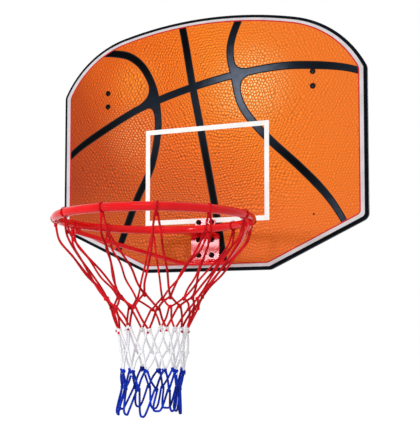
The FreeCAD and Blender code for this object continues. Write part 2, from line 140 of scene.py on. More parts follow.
# Printed face. A thin plastic film, glued on the panel's front and printed with the picture of a ball's
# pebbled skin and its black seams. A white target rectangle, a thin red line, a pale grey border and a
# black edge are printed over it.
PANEL_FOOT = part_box("backboard_panel")[0].z
FILM_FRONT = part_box("face_print")[0].y
FILM_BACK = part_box("face_print")[1].y
FLAT_TOLERANCE = 0.1 * MM
CUT_TOLERANCE = 0.01 * MM
BORDER_SIDE = 9.4 * MM
BORDER_TOP = 6.5 * MM
BORDER_FOOT = 8 * MM
TOP_FALLOFF = 2
FOOT_FALLOFF = 8
RED_LINE = 2.7 * MM
EDGE_LINE = 1.4 * MM
CORNER_SPREAD = 7 * MM
CORNER_STEP = 1 * MM
TARGET_HALF_WIDTH = 144.6 * MM
TARGET_FOOT = PANEL_FOOT + 98.6 * MM
TARGET_TOP = PANEL_FOOT + 312 * MM
TARGET_LINE = 10.5 * MM
SEAM_EDGE = 8.7 * MM
SEAM_OUTLINE = 2.5 * MM
SEAM_CORE = SEAM_EDGE - SEAM_OUTLINE
SEAM_LIP = 8 * MM
SEAM_STEP = 4 * MM
SEAM_TAPER_START = 280 * MM
SEAM_TAPER_END = 370 * MM
SEAM_END_SHARE = 0.78

# Places on the print are millimetres across from the panel's middle and up from its bottom edge: the
# ball's middle, the middle lines of its seams, and the fillets where two seams run together.
BALL_MIDDLE = (0, 300)
SEAMS = (
    ((-268, 501), (-226, 497), (-185, 485), (-151, 455), (-126, 405), (-116, 350), (-116, 300), (-131, 230),
     (-166, 159), (-192, 96), (-219, 29)),
    ((-362, 248), (-303, 293), (-189, 352), (-120, 377), (-31, 400), (71, 418), (168, 425), (246, 419),
     (311, 407), (360, 389)),
    ((-60, 556), (-48, 496), (-32, 405), (-13, 311), (6, 213), (25, 114), (35, 55), (45, -8)),
    ((85, 556), (62, 501), (57, 462), (66, 416), (81, 354), (113, 306), (153, 263), (214, 205), (265, 150),
     (299, 100), (332, 35)),
)
SEAM_FILLETS = (
    ((-132, 420), (-121, 384), (-157, 367)),
    ((-115, 342), (-118, 381), (-156, 367)),
    ((60, 446), (66, 420), (97, 422)),
    ((77, 378), (68, 419), (108, 424)),
)


def flat_loops(mesh, depth):
    """Closed edge loops of the flat face at that depth, as (x, z) points, the outline first."""
    sides = set()
    for face in mesh.polygons:
        corners = [mesh.vertices[v].co for v in face.vertices]
        if all(abs(c.y - depth) < FLAT_TOLERANCE for c in corners):
            ends = [(round(c.x, 6), round(c.z, 6)) for c in corners]
            sides.update(zip(ends, ends[1:] + ends[:1]))
    follow = {a: b for a, b in sides if (b, a) not in sides}
    loops = []
    while follow:
        start, here = follow.popitem()
        loop = [start]
        while here != start:
            loop.append(here)
            here = follow.pop(here)
        loops.append([Vector(p) for p in loop])
    return sorted(loops, key=lambda loop: min(p.x for p in loop))


def inset(loop, at_sides, at_top, at_foot):
    """A closed outline moved inwards, by its own width at the sides, at the top and at the foot."""
    moved = []
    for before, here, after in zip(loop[-1:] + loop[:-1], loop, loop[1:] + loop[:1]):
        along = (after - before).normalized()
        outward = Vector((along.y, -along.x))
        top_share = max(0.0, outward.y) ** TOP_FALLOFF
        foot_share = max(0.0, -outward.y) ** FOOT_FALLOFF
        width = at_sides + (at_top - at_sides) * top_share + (at_foot - at_sides) * foot_share
        moved.append(here - outward * width)
    return moved


def run_lengths(route):
    """Length along a route up to each of its points."""
    return np.concatenate(([0], np.cumsum(np.linalg.norm(np.diff(route, axis=0), axis=1))))


def places_along(route, run, stations):
    """Places on a route at the given lengths along it."""
    return np.stack([np.interp(stations, run, axis) for axis in route.T], axis=1)


def soften(loop):
    """A closed outline with rounded corners: each point is the mean of the stretch on both sides of it."""
    route = np.array([*loop, loop[0]])
    run = run_lengths(route)
    count = int(run[-1] / CORNER_STEP)
    even = places_along(route, run, np.arange(count) * run[-1] / count)
    spread = round(CORNER_SPREAD / CORNER_STEP)
    total = sum(np.roll(even, shift, axis=0) for shift in range(-spread, spread + 1))
    return [Vector(p) for p in total / (2 * spread + 1)]


def target_rectangle(shrink):
    """Corners of the target rectangle, made smaller by that much on each side."""
    across = TARGET_HALF_WIDTH - shrink
    foot, top = TARGET_FOOT + shrink, TARGET_TOP - shrink
    return [Vector(p) for p in ((-across, foot), (across, foot), (across, top), (-across, top))]


def smooth_line(points, step):
    """Points about a step apart on a smooth curve through the given points."""
    padded = [2 * points[0] - points[1], *points, 2 * points[-1] - points[-2]]
    line = [points[0]]
    for before, start, end, after in zip(padded, padded[1:], padded[2:], padded[3:]):
        count = 2 + int((end - start).length / step)
        handles = start + (end - before) / 6, end - (after - start) / 6
        line += geometry.interpolate_bezier(start, *handles, end, count)[1:]
    return line


def on_board(point):
    """A place on the print, in metres across and in the frame's height."""
    return Vector((point[0] * MM, PANEL_FOOT + point[1] * MM))


def seam_share(points):
    """Width of a seam at each place, as a share of its full width: the ball turns away towards its rim."""
    away = np.linalg.norm(np.array(points) - np.array(on_board(BALL_MIDDLE)), axis=1)
    return np.interp(away, (SEAM_TAPER_START, SEAM_TAPER_END), (1, SEAM_END_SHARE))


def from_seam(points):
    """Distance of each place from the nearest seam's middle, as if that seam had its full width there."""
    return np.array([seam_middle.find((x, z, 0))[2] for x, z in points]) / seam_share(points)


def inside(points, loop):
    """Which of the points lie inside a closed loop."""
    start = np.array(loop)
    end = np.roll(start, -1, axis=0)
    x, z = points[:, :1], points[:, 1:]
    straddles = (start[:, 1] > z) != (end[:, 1] > z)
    rise = np.where(end[:, 1] == start[:, 1], 1.0, end[:, 1] - start[:, 1])
    crossing = start[:, 0] + (z - start[:, 1]) / rise * (end[:, 0] - start[:, 0])
    return (straddles & (x < crossing)).sum(axis=1) % 2 == 1


def make_piece(name, points, faces, finishes, kinds=None, smooth=False):
    """A mesh that rides on the frame's only body; kinds picks the finish of each face."""
    mesh = bpy.data.meshes.new(name)
    mesh.from_pydata([tuple(p) for p in points], [], faces)
    for finish in finishes:
        mesh.materials.append(finish)
    if kinds is not None:
        mesh.polygons.foreach_set("material_index", kinds)
    mesh.polygons.foreach_set("use_smooth", [smooth] * len(faces))
    piece = bpy.data.objects.new(name, mesh)
    bpy.context.scene.collection.objects.link(piece)
    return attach(piece, "root")


outline, *holes = flat_loops(nodes["face_print"].data, FILM_FRONT)
black_edge = inset(outline, EDGE_LINE, EDGE_LINE, EDGE_LINE)
border_edge = soften(inset(outline, BORDER_SIDE, BORDER_TOP, BORDER_FOOT))
skin_edge = soften(inset(outline, BORDER_SIDE + RED_LINE, BORDER_TOP + RED_LINE, BORDER_FOOT + RED_LINE))
target_outer = target_rectangle(0)
target_inner = target_rectangle(TARGET_LINE)
seam_lines = [smooth_line([on_board(p) for p in seam], SEAM_STEP) for seam in SEAMS]
seam_points = [p for line in seam_lines for p in line]
for fillet in SEAM_FILLETS:
    wanted = [on_board(p) for p in fillet]
    start, corner, end = [min(seam_points, key=lambda p: (p - place).length) for place in wanted]
    handles = start.lerp(corner, 2 / 3), end.lerp(corner, 2 / 3)
    count = 2 + int(2 * (end - start).length / SEAM_STEP)
    seam_lines.append(geometry.interpolate_bezier(start, *handles, end, count))

# The lines that part one printed colour from the next, and those where the seams' smooth lips end, cut
# the film's front into triangles of one colour each.
cut_points, cut_edges = [], []
for loop in (outline, *holes, black_edge, border_edge, skin_edge, target_outer, target_inner):
    first = len(cut_points)
    cut_points += loop
    cut_edges += [(first + i, first + (i + 1) % len(loop)) for i in range(len(loop))]
seam_middle = kdtree.KDTree(sum(2 * len(line) - 1 for line in seam_lines))
lines_beside_seam = (SEAM_EDGE, SEAM_CORE, SEAM_EDGE + SEAM_LIP)
for line in seam_lines:
    middles = [(a + b) / 2 for a, b in zip(line, line[1:])]
    for point in line + middles:
        seam_middle.insert(point.to_3d(), 0)
    for offset in (*lines_beside_seam, *(-distance for distance in lines_beside_seam)):
        first = len(cut_points)
        stations = zip(line[:1] + line[:-1], line, line[1:] + line[-1:], seam_share(line))
        for before, here, after, share in stations:
            along = (after - before).normalized()
            cut_points.append(here + Vector((along.y, -along.x)) * offset * share)
        cut_edges += [(i, i + 1) for i in range(first, len(cut_points) - 1)]
seam_middle.balance()
flat_points, _, triangles, *_ = geometry.delaunay_2d_cdt(cut_points, cut_edges, [], 0, CUT_TOLERANCE)
centres = np.array([sum((flat_points[i] for i in t), Vector((0, 0))) / 3 for t in triangles])
printed = inside(centres, outline)
for hole in holes:
    printed &= ~inside(centres, hole)
SKIN, SEAM, TARGET, LINE, BORDER, EDGE = range(6)
to_seam = from_seam(centres)
colour = np.where(to_seam < SEAM_EDGE, EDGE, SKIN)
colour[to_seam < SEAM_CORE] = SEAM
colour[inside(centres, target_outer) & ~inside(centres, target_inner)] = TARGET
colour[~inside(centres, skin_edge)] = LINE
colour[~inside(centres, border_edge)] = BORDER
colour[~inside(centres, black_edge)] = EDGE

used = sorted({i for t, shown in zip(triangles, printed) if shown for i in t})
renumbered = {old: new for new, old in enumerate(used)}
count = len(used)
film_points = [(flat_points[i].x, y, flat_points[i].y) for y in (FILM_FRONT, FILM_BACK) for i in used]
front = [[renumbered[i] for i in t] for t, shown in zip(triangles, printed) if shown]
kinds = [int(c) for c, shown in zip(colour, printed) if shown]
sides = {(a, b) for t in front for a, b in zip(t, t[1:] + t[:1])}
edge_walls = [(b, a, a + count, b + count) for a, b in sides if (b, a) not in sides]
back = [[i + count for i in reversed(t)] for t in front]
kinds += [EDGE] * (len(edge_walls) + len(back))


def flat_place(tree):
    """The place on the film as (across, up, 0)."""
    where = add(tree, "ShaderNodeTexCoord").outputs["Object"]
    axes = add(tree, "ShaderNodeSeparateXYZ", {"Vector": where})
    flat = add(tree, "ShaderNodeCombineXYZ", {"X": axes.outputs["X"], "Y": axes.outputs["Z"]})
    return flat.outputs["Vector"]


def printed_patches(tree, flat, patches):
    """Strength of soft round patches in the picture; each has a place, a reach and a peak."""
    total = 0.0
    for centre, reach, peak in patches:
        away = add(tree, "ShaderNodeVectorMath", {0: flat, 1: on_board(centre).to_3d()},
                   operation="DISTANCE")
        patch = add(tree, "ShaderNodeMapRange", {"Value": away.outputs["Value"], "From Min": reach * MM,
                                                 "From Max": 0.0, "To Max": peak},
                    interpolation_type="SMOOTHSTEP").outputs["Result"]
        total = add(tree, "ShaderNodeMath", {0: patch, 1: total}, operation="ADD").outputs["Value"]
    return total


# The ball's skin is ink under a satin laminate: the film is flat, so each pebble's light and dark side is
# printed. The picture darkens to the left, with warm and dusky patches, and two lamps shine white on the
# pebbles of its upper half. Beside a seam the pebbles run out to a smooth lip.
PEBBLE_ROW = 6.3 * MM
PEBBLE_ROW_TURNS = (30, 90, 150)
ROW_BEND = 150 * MM
ROW_BEND_REACH = 32 * MM
PEBBLE_WANDER = 17 * MM
PEBBLE_WANDER_REACH = 9 * MM
EMBOSSED_FROM = (40, 400)
CROWN_SHARE = 0.35
RELIEF_LIMIT = 1.9
CONTRAST_MIDDLE = (-65, 285)
CONTRAST_CORE = 160 * MM
CONTRAST_REACH = 340 * MM
SHADE_WAY = Vector((1, 0.5, 0))
SHADE_HEIGHT = 250
SHADE_DARK_END = -345 * MM
SHADE_LIGHT_END = 335 * MM
LOW_TONE_TOP = PANEL_FOOT + 220 * MM
LOW_TONE_FOOT = PANEL_FOOT + 30 * MM
WARM_PATCHES = (((-168, 424), 90, 0.44), ((62, 385), 200, 0.35))
DUSKY_PATCHES = (((-130, 95), 220, 0.55), ((20, 170), 200, 0.2))
SKIN_LAMPS = (((-168, 310), 105, 0.33), ((102, 392), 115, 1.15))
ball_skin, tree = blank_material("printed_ball_skin")
flat = flat_place(tree)

# Three sets of straight rows cross and make a honeycomb of pebbles, which two noises bend and loosen.
drift = add(tree, "ShaderNodeTexNoise", {"Vector": flat, "Scale": 1 / ROW_BEND, "Detail": 0.0},
            noise_dimensions="2D").outputs["Color"]
wander = add(tree, "ShaderNodeTexNoise", {"Vector": flat, "Scale": 1 / PEBBLE_WANDER, "Detail": 1.0},
             noise_dimensions="2D")
bent = add(tree, "ShaderNodeVectorMath", {0: drift, 1: (ROW_BEND_REACH, ROW_BEND_REACH, 0), 2: flat},
           operation="MULTIPLY_ADD").outputs["Vector"]
loose = add(tree, "ShaderNodeVectorMath", {0: wander.outputs["Color"],
                                           1: (PEBBLE_WANDER_REACH, PEBBLE_WANDER_REACH, 0), 2: bent},
            operation="MULTIPLY_ADD").outputs["Vector"]
lamp_offset = add(tree, "ShaderNodeVectorMath", {0: on_board(EMBOSSED_FROM).to_3d(), 1: flat},
                  operation="SUBTRACT").outputs["Vector"]
to_lamp = add(tree, "ShaderNodeVectorMath", {0: lamp_offset}, operation="NORMALIZE").outputs["Vector"]
pebbles, lit_sides = 0.0, 0.0
for row_turn in PEBBLE_ROW_TURNS:
    row_way = Vector((math.cos(math.radians(row_turn)), math.sin(math.radians(row_turn)), 0))
    phase = add(tree, "ShaderNodeVectorMath", {0: loose, 1: row_way * 2 * math.pi / PEBBLE_ROW},
                operation="DOT_PRODUCT").outputs["Value"]
    crest = add(tree, "ShaderNodeMath", {0: phase}, operation="COSINE").outputs["Value"]
    slope = add(tree, "ShaderNodeMath", {0: phase}, operation="SINE").outputs["Value"]
    faces_lamp = add(tree, "ShaderNodeVectorMath", {0: to_lamp, 1: row_way},
                     operation="DOT_PRODUCT").outputs["Value"]
    pebbles = add(tree, "ShaderNodeMath", {0: crest, 1: pebbles}, operation="ADD").outputs["Value"]
    lit_sides = add(tree, "ShaderNodeMath", {0: slope, 1: faces_lamp, 2: lit_sides},
                    operation="MULTIPLY_ADD").outputs["Value"]

# The skin's tone before its pebbles: dark at the left and light at the right, drawn towards one orange
# along the foot, with the warm and dusky patches over it.
shade_middle = SHADE_WAY.dot(on_board((0, SHADE_HEIGHT)).to_3d())
to_light = add(tree, "ShaderNodeVectorMath", {0: flat, 1: SHADE_WAY},
               operation="DOT_PRODUCT").outputs["Value"]
lightness = add(tree, "ShaderNodeMapRange", {"Value": to_light, "From Min": shade_middle + SHADE_DARK_END,
                                             "From Max": shade_middle + SHADE_LIGHT_END}).outputs["Result"]
upper_tone = add(tree, "ShaderNodeValToRGB", {"Fac": lightness},
                 stops=((0.0, "#A63A12"), (1.0, "#F07726"), (0.16, "#B84610"), (0.27, "#D45A14"),
                        (0.42, "#E06214"), (0.6, "#EA6E16"), (0.7, "#F0761A")))
low_peak = add(tree, "ShaderNodeMapRange", {"Value": lightness, "From Max": 0.25, "To Min": 0.3,
                                            "To Max": 0.75}).outputs["Result"]
height = add(tree, "ShaderNodeSeparateXYZ", {"Vector": flat}).outputs["Y"]
low = add(tree, "ShaderNodeMapRange", {"Value": height, "From Min": LOW_TONE_TOP, "From Max": LOW_TONE_FOOT,
                                       "To Max": low_peak},
          interpolation_type="SMOOTHSTEP").outputs["Result"]
tone = add(tree, "ShaderNodeMix", {"Factor": low, 6: upper_tone.outputs["Color"], 7: linear("#EC702E")},
           data_type="RGBA").outputs[2]
for patches, code in ((WARM_PATCHES, "#F4902E"), (DUSKY_PATCHES, "#B8480C")):
    patch_share = printed_patches(tree, flat, patches)
    tone = add(tree, "ShaderNodeMix", {"Factor": patch_share, 6: tone, 7: linear(code)},
               data_type="RGBA").outputs[2]

# The pebbles' light and dark sides, deepest near the picture's middle and faint on a seam's lip.
from_middle = add(tree, "ShaderNodeVectorMath", {0: flat, 1: on_board(CONTRAST_MIDDLE).to_3d()},
                  operation="DISTANCE").outputs["Value"]
contrast = add(tree, "ShaderNodeMapRange", {"Value": from_middle, "From Min": CONTRAST_CORE,
                                            "From Max": CONTRAST_REACH, "To Min": 0.29, "To Max": 0.105},
               interpolation_type="SMOOTHSTEP").outputs["Result"]
uneven = add(tree, "ShaderNodeMapRange", {"Value": wander.outputs["Fac"], "From Min": 0.3, "From Max": 0.7,
                                          "To Min": 0.6, "To Max": 1.4}).outputs["Result"]
patchy = add(tree, "ShaderNodeMath", {0: contrast, 1: uneven}, operation="MULTIPLY").outputs["Value"]
lip = add(tree, "ShaderNodeAttribute", attribute_name="seam_lip").outputs["Fac"]
depth = add(tree, "ShaderNodeMapRange", {"Value": lip, "To Min": patchy, "To Max": 0.02}).outputs["Result"]
relief = add(tree, "ShaderNodeMath", {0: pebbles, 1: CROWN_SHARE, 2: lit_sides}, operation="MULTIPLY_ADD")
raised = add(tree, "ShaderNodeClamp", {"Value": relief.outputs["Value"], "Min": -RELIEF_LIMIT,
                                       "Max": RELIEF_LIMIT}).outputs["Result"]
shade = add(tree, "ShaderNodeMath", {0: raised, 1: depth, 2: 1.0},
            operation="MULTIPLY_ADD").outputs["Value"]
pebbled = add(tree, "ShaderNodeVectorMath", {0: tone, "Scale": shade}, operation="SCALE").outputs["Vector"]
lamps = printed_patches(tree, flat, SKIN_LAMPS)
crowns = add(tree, "ShaderNodeMapRange", {"Value": pebbles, "From Min": 0.2,
                                          "From Max": 2.2}).outputs["Result"]
glints = add(tree, "ShaderNodeMath", {0: lamps, 1: crowns}, operation="MULTIPLY", use_clamp=True)
ink = add(tree, "ShaderNodeMix", {"Factor": glints.outputs["Value"], 6: pebbled, 7: linear("#FFE8A8")},
          data_type="RGBA").outputs[2]
surface = add(tree, "ShaderNodeBsdfPrincipled", {"Base Color": ink, "Roughness": 0.42, "IOR": 1.5,
                                                 "Specular IOR Level": 0.07})
add(tree, "ShaderNodeOutputMaterial", {"Surface": surface.outputs["BSDF"]})

# The seams are printed near-black rubber, with a blue-grey shine where the picture's lamps fall on them.
SEAM_SMEAR = 14 * MM
SEAM_LAMPS = (((-125, 335), 140, 0.42), ((95, 380), 190, 1.0), ((300, 105), 130, 0.5),
              ((335, 398), 130, 0.35))
seam_ink, tree = blank_material("printed_rubber_seam")
flat = flat_place(tree)
smear = add(tree, "ShaderNodeTexNoise", {"Vector": flat, "Scale": 1 / SEAM_SMEAR, "Detail": 4.0},
            noise_dimensions="2D")
dulled = add(tree, "ShaderNodeMapRange", {"Value": smear.outputs["Fac"], "From Min": 0.3, "From Max": 0.7,
                                          "To Min": 0.85, "To Max": 1.0}).outputs["Result"]
shine = add(tree, "ShaderNodeMath", {0: printed_patches(tree, flat, SEAM_LAMPS), 1: dulled},
            operation="MULTIPLY", use_clamp=True)
ink = add(tree, "ShaderNodeValToRGB", {"Fac": shine.outputs["Value"]},
          stops=((0.0, "#030405"), (1.0, "#6E7788"), (0.35, "#1C242E")))
surface = add(tree, "ShaderNodeBsdfPrincipled", {"Base Color": ink.outputs["Color"], "Roughness": 0.42,
                                                 "IOR": 1.5, "Specular IOR Level": 0.02})
add(tree, "ShaderNodeOutputMaterial", {"Surface": surface.outputs["BSDF"]})

# The target, the line, the border and the black of the edge and of the seams' outlines are even ink, a
# little cloudy from the printing roller.
ROLLER_CLOUD = 30 * MM
plain_inks = []
for name, light_code, dark_code in (("printed_white_target", "#FFFEFA", "#F6F5F0"),
                                    ("printed_red_line", "#D02A2E", "#C01E24"),
                                    ("printed_grey_border", "#DCD7D8", "#D0CBCD"),
                                    ("printed_black_edge", "#0C0E12", "#060709")):
    finish, tree = blank_material(name)
    cloud = add(tree, "ShaderNodeTexNoise", {"Vector": flat_place(tree), "Scale": 1 / ROLLER_CLOUD,
                                             "Detail": 3.0}, noise_dimensions="2D")
    ink = add(tree, "ShaderNodeValToRGB", {"Fac": cloud.outputs["Fac"]},
              stops=((0.35, dark_code), (0.65, light_code)))
    surface = add(tree, "ShaderNodeBsdfPrincipled", {"Base Color": ink.outputs["Color"], "Roughness": 0.42,
                                                     "IOR": 1.5, "Specular IOR Level": 0.1})
    add(tree, "ShaderNodeOutputMaterial", {"Surface": surface.outputs["BSDF"]})
    plain_inks.append(finish)

film_faces = front + edge_walls + back
film = make_piece("printed_film", film_points, film_faces, [ball_skin, seam_ink, *plain_inks], kinds)
past_seam = from_seam([(x, z) for x, _, z in film_points]) - SEAM_EDGE
lip_values = film.data.attributes.new("seam_lip", "FLOAT", "POINT")
lip_values.data.foreach_set("value", np.clip(1 - past_seam / SEAM_LIP, 0, 1))
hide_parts("face_print")


# Hole sleeves. Four moulded polyethylene bushings line the upper wall holes; each is pushed in from the
# front until its flange lies on the film, and keeps the wall screw off the raw board.
MOULD_GRAIN = 1.2 * MM
MOULD_RELIEF = 0.1 * MM

# Moulded polyethylene is black and waxy, with a fine sparked grain from the mould.
polyethylene, tree = blank_material("moulded_black_polyethylene")
where = add(tree, "ShaderNodeTexCoord").outputs["Object"]
grain = add(tree, "ShaderNodeTexNoise", {"Vector": where, "Scale": 1 / MOULD_GRAIN, "Detail": 3.0})
tone = add(tree, "ShaderNodeValToRGB", {"Fac": grain.outputs["Fac"]},
           stops=((0.3, "#050608"), (0.7, "#0C0D10")))
relief = add(tree, "ShaderNodeBump", {"Height": grain.outputs["Fac"], "Strength": 0.2,
                                      "Distance": MOULD_RELIEF})
surface = add(tree, "ShaderNodeBsdfPrincipled", {"Base Color": tone.outputs["Color"], "Roughness": 0.5,
                                                 "IOR": 1.51, "Specular IOR Level": 0.06,
                                                 "Normal": relief.outputs["Normal"]})
add(tree, "ShaderNodeOutputMaterial", {"Surface": surface.outputs["BSDF"]})
dress(polyethylene, "hole_sleeves")


# Edge moulding. An extruded black vinyl strip with a rounded face; its spine is knocked into a groove
# that runs round the whole edge of the panel.
DIE_LINE = 3 * MM
DIE_LINE_ASPECT = 0.05

# Soft vinyl is black with a faint blue cast, and the die leaves fine lines along the strip that blur its
# highlights.
vinyl, tree = blank_material("extruded_black_vinyl")
where = add(tree, "ShaderNodeTexCoord").outputs["Object"]
across_strip = add(tree, "ShaderNodeMapping", {"Vector": where,
                                               "Scale": (DIE_LINE_ASPECT, 1, DIE_LINE_ASPECT)})
die_lines = add(tree, "ShaderNodeTexNoise", {"Vector": across_strip.outputs["Vector"],
                                             "Scale": 1 / DIE_LINE, "Detail": 3.0})
gloss = add(tree, "ShaderNodeMapRange", {"Value": die_lines.outputs["Fac"], "From Min": 0.3,
                                         "From Max": 0.7, "To Min": 0.26, "To Max": 0.4}).outputs["Result"]
tone = add(tree, "ShaderNodeValToRGB", {"Fac": die_lines.outputs["Fac"]},
           stops=((0.3, "#03060C"), (0.7, "#070D1A")))
surface = add(tree, "ShaderNodeBsdfPrincipled", {"Base Color": tone.outputs["Color"], "Roughness": gloss,
                                                 "IOR": 1.53, "Specular IOR Level": 0.03})
add(tree, "ShaderNodeOutputMaterial", {"Surface": surface.outputs["BSDF"]})
dress(vinyl, "edge_trim")


# Bracket, rim and brace. The plate and the tab are bent from steel sheet, the rim and the brace from
# round bar; they are welded together, and sprayed and baked with one coat of red enamel.
ORANGE_PEEL = 6 * MM
ORANGE_PEEL_RELIEF = 0.4 * MM
COAT_CLOUD = 45 * MM

# Stove enamel is a bright, glassy red. The spray leaves a faint orange peel, which ripples what it
# reflects.
enamel, tree = blank_material("red_stove_enamel")
where = add(tree, "ShaderNodeTexCoord").outputs["Object"]
peel = add(tree, "ShaderNodeTexNoise", {"Vector": where, "Scale": 1 / ORANGE_PEEL, "Detail": 2.0})
thickness = add(tree, "ShaderNodeTexNoise", {"Vector": where, "Scale": 1 / COAT_CLOUD, "Detail": 3.0})
tone = add(tree, "ShaderNodeValToRGB", {"Fac": thickness.outputs["Fac"]},
           stops=((0.3, "#DE060E"), (0.7, "#EE0A14")))
gloss = add(tree, "ShaderNodeMapRange", {"Value": thickness.outputs["Fac"], "From Min": 0.3,
                                         "From Max": 0.7, "To Min": 0.08, "To Max": 0.14}).outputs["Result"]
ripple = add(tree, "ShaderNodeBump", {"Height": peel.outputs["Fac"], "Strength": 0.08,
                                      "Distance": ORANGE_PEEL_RELIEF})
surface = add(tree, "ShaderNodeBsdfPrincipled", {"Base Color": tone.outputs["Color"], "Roughness": gloss,
                                                 "IOR": 1.55, "Specular IOR Level": 0.15,
                                                 "Normal": ripple.outputs["Normal"]})
add(tree, "ShaderNodeOutputMaterial", {"Surface": surface.outputs["BSDF"]})
dress(enamel, "bracket_plate", "bracket_angle", "rim_ring", "brace_rod", "shelf_weld", "brace_rim_welds",
      "brace_plate_welds")


# Bracket bolts. Six M6 hexagon bolts of steel, turned black in an oxide bath. Four hold the plate and two
# the tab, each screwed into a nut in the panel's back.
BATH_CLOUD = 4 * MM

# Black oxide on steel is nearly matt, a little brown where it is thin, and keeps a dull glint.
oxide, tree = blank_material("black_oxide_steel")
where = add(tree, "ShaderNodeTexCoord").outputs["Object"]
cloud = add(tree, "ShaderNodeTexNoise", {"Vector": where, "Scale": 1 / BATH_CLOUD, "Detail": 4.0})
tone = add(tree, "ShaderNodeValToRGB", {"Fac": cloud.outputs["Fac"]},
           stops=((0.3, "#08080A"), (0.7, "#141211")))
gloss = add(tree, "ShaderNodeMapRange", {"Value": cloud.outputs["Fac"], "To Min": 0.45,
                                         "To Max": 0.7}).outputs["Result"]
surface = add(tree, "ShaderNodeBsdfPrincipled", {"Base Color": tone.outputs["Color"], "Roughness": gloss,
                                                 "Specular IOR Level": 0.05})
add(tree, "ShaderNodeOutputMaterial", {"Surface": surface.outputs["BSDF"]})
dress(oxide, "bracket_bolts")


# Insert nuts. Flanged steel barrels with an M6 thread, zinc plated and pressed into the panel's back, so
# that nothing stands proud of it against the wall.
SPANGLE = 2.5 * MM

# Bright zinc plate is pale blue-grey metal, slightly cloudy from crystal to crystal.
zinc, tree = blank_material("zinc_plated_steel")
where = add(tree, "ShaderNodeTexCoord").outputs["Object"]
crystals = add(tree, "ShaderNodeTexVoronoi", {"Vector": where, "Scale": 1 / SPANGLE}).outputs["Distance"]
tone = add(tree, "ShaderNodeValToRGB", {"Fac": crystals}, stops=((0.0, "#C9CDD3"), (0.7, "#A9AFB8")))
gloss = add(tree, "ShaderNodeMapRange", {"Value": crystals, "To Min": 0.28,
                                         "To Max": 0.42}).outputs["Result"]
surface = add(tree, "ShaderNodeBsdfPrincipled", {"Base Color": tone.outputs["Color"], "Metallic": 1.0,
                                                 "Roughness": gloss})
add(tree, "ShaderNodeOutputMaterial", {"Surface": surface.outputs["BSDF"]})
dress(zinc, "insert_nuts")


# Net. Twelve loops of twisted cord go over the rim bar, and seven rows of knotted meshes hang from them:
# red, white and blue twine, netted by hand, so that knots and strands are never quite alike. The lowest
# meshes are open loops.
RIM_LOW, RIM_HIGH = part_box("rim_ring")
RIM_CENTRE = (RIM_LOW + RIM_HIGH) / 2
BAR_RADIUS = (RIM_HIGH.z - RIM_LOW.z) / 2
RIM_RADIUS = (RIM_HIGH.x - RIM_LOW.x) / 2 - BAR_RADIUS
SHELF_HALF_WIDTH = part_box("bracket_plate")[1].x
UP = Vector((0, 0, 1))
TWINE_RADIUS = 2.3 * MM
TWINE_PITCH = 13 * MM
TWINE_SIDES = 9
TWINE_STRANDS = 3
TWINE_GROOVE = 0.07
TWINE_STEP = 1.1 * MM
NET_LOOPS = 12
NET_CLOCK = -3.5
NET_TWIST = 4.0
PART_CORD_RADIUS = 2 * MM
NET_LENGTH = RIM_CENTRE.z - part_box("net_blue_2")[0].z - PART_CORD_RADIUS
ROW_COLOURS = ("red", "red", "red", "white", "white", "blue", "blue")
ROW_DROP_SHARES = (0.411, 0.463, 0.573, 0.689, 0.788, 0.879, 1.0)
ROW_RADIUS_SHARES = (0.496, 0.442, 0.358, 0.324, 0.308, 0.302, 0.324)
ROW_SWAY = (3.0, 4.0, 2.5, 3.5, 2.5, 4.0, 6.0)
ROW_LEAN = (0, 0, 0, 0, 1.5, 4.0, 9.0)
LEAN_WAY = Vector((-0.92, -0.38, 0))
LAST_ROW = len(ROW_COLOURS)
LOOP_CLEARANCE = 0.3 * MM
LOOP_RADIUS = BAR_RADIUS + LOOP_CLEARANCE + TWINE_RADIUS
LOOP_PRESS = 0.42
LOOP_LEAN = 1.5 * MM
LOOP_ARC = range(-40, 221, 10)
KNOT_SIZE = 9.5 * MM
JOIN_KNOT_SIZE = 11.4 * MM
KNOT_HEIGHT = 8.5 * MM
KNOT_STEPS = 48
KNOT_TIGHTNESS = 0.9
KNOT_DEPTH = 1.5
TREFOIL_REACH = 3
STRAND_OFFSET = TWINE_RADIUS + LOOP_CLEARANCE / 2
STRAND_SWAY = 2.4 * MM
STRAND_BELLY = 13 * MM
BELLY_SHARE = 0.22
SLACK_SHARES = (0.28, 0.58, 0.82)
SLACK_SWAY = 2.5 * MM
TAIL_DROP = 6 * MM
TAIL_OUT = 2.5 * MM
TAIL_SWAY = 1.5 * MM
END_HALF_WIDTHS = (6 * MM, 9 * MM)
END_RISES = (5 * MM, 9 * MM)
END_SWAY = 1 * MM
hand = random.Random(12)
net_meshes = {}


def sway(reach):
    """A small seeded move to any side."""
    return Vector([hand.uniform(-1, 1) for _ in range(3)]) * reach


def loop_turn(index):
    """Angle of a loop round the rim; a loop that would lie on the shelf sits beside it."""
    from_board = NET_CLOCK + index * 360 / NET_LOOPS - 90
    room = SHELF_HALF_WIDTH + TWINE_RADIUS + LOOP_CLEARANCE
    least = math.degrees(math.asin(room / (RIM_RADIUS - BAR_RADIUS)))
    if abs(from_board) < least:
        from_board = math.copysign(least, from_board)
    return math.radians(90 + from_board)


def ring_point(turn, radius, drop):
    """A place round the rim's axis."""
    return RIM_CENTRE + Vector((math.cos(turn) * radius, math.sin(turn) * radius, -drop))


def outward_of(point):
    """Level direction from the rim's axis to a point."""
    return Vector((point.x - RIM_CENTRE.x, point.y - RIM_CENTRE.y, 0)).normalized()


def bar_above(knot):
    """Middle of the rim bar over a loop's knot."""
    return Vector((knot.x, knot.y, RIM_CENTRE.z))


